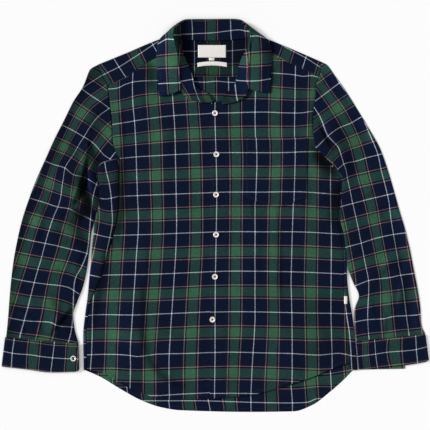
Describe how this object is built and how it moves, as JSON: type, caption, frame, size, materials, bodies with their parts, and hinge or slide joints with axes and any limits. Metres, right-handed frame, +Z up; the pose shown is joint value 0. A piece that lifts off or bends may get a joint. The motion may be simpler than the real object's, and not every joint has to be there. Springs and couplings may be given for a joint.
{
  "type": "long-sleeved flannel shirt",
  "caption": "Long-sleeved button-front flannel shirt with a turn-down collar, a chest pocket and a curved hem, laid flat on its back.",
  "frame": {"origin": "on the surface the shirt lies on, under the middle of its bounding box", "axes": "+Z up from the surface, +Y towards the collar, +X towards the wearer's left sleeve"},
  "size_m": [0.8533, 0.7847, 0.0251],
  "materials": {
    "flannel": "brushed cotton flannel, navy and green check with white and orange lines",
    "button": "glossy cream shirt button",
    "label": "plain off-white woven label"
  },
  "bodies": {
    "root": {"back": "flannel", "yoke": "flannel", "front_right": "flannel", "front_left": "flannel", "sleeve_right": "flannel", "sleeve_left": "flannel", "cuff_right": "flannel", "cuff_left": "flannel", "collar_stand": "flannel", "collar_fall": "flannel", "chest_pocket": "flannel", "button_1": "button", "button_2": "button", "button_3": "button", "button_4": "button", "button_5": "button", "button_6": "button", "button_cuff_right": "button", "label_neck": "label", "label_size": "label", "label_care": "label", "label_side": "label"}
  },
  "joints": []
}
